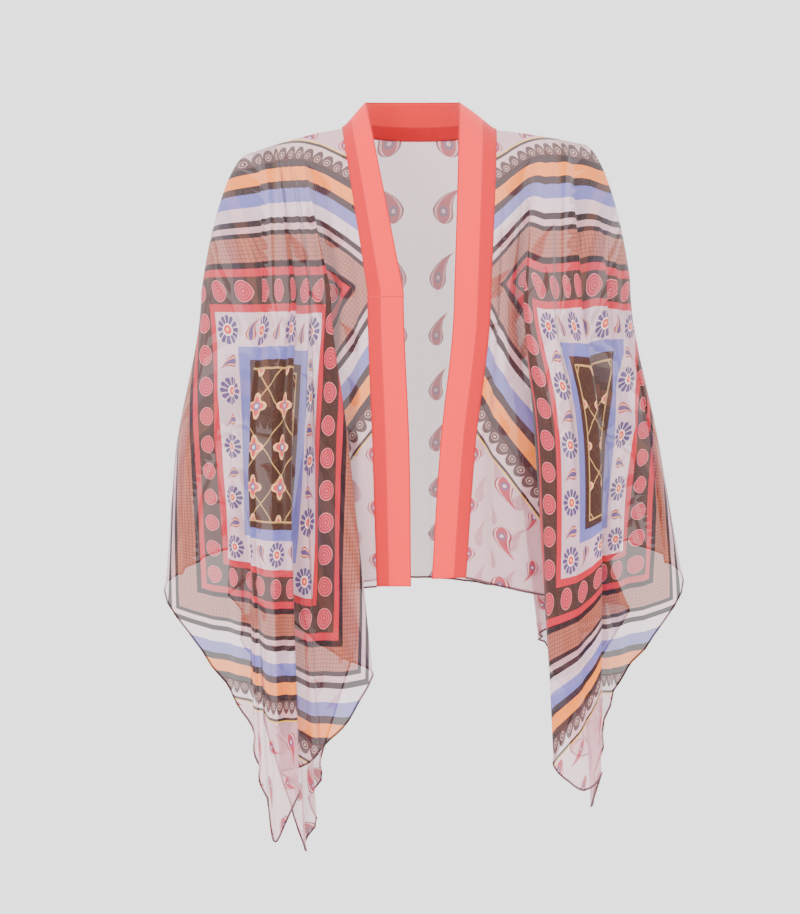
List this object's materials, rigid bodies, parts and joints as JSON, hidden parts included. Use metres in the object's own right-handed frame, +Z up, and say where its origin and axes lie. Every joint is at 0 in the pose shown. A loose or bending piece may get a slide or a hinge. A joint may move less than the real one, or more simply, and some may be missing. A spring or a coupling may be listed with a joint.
{
  "type": "open-front kimono cape",
  "caption": "Sheer printed cloth cape with an open front, wide folded sleeves and a plain coral band round the neck and down both fronts.",
  "frame": {"origin": "middle of the neck at shoulder height, where the wearer holds the garment up", "axes": "+Z up, +X to the viewer's right, +Y away from the viewer, so the open front faces -Y"},
  "size_m": [0.6462, 0.2462, 0.958],
  "materials": {
    "coral_band": "plain woven chiffon in two layers, matt",
    "printed_cloth": "sheer printed chiffon, matt"
  },
  "bodies": {
    "root": {"band_right": "coral_band", "band_left": "coral_band", "band_neck": "coral_band", "front_right": "printed_cloth", "front_left": "printed_cloth", "back": "printed_cloth"}
  },
  "joints": []
}
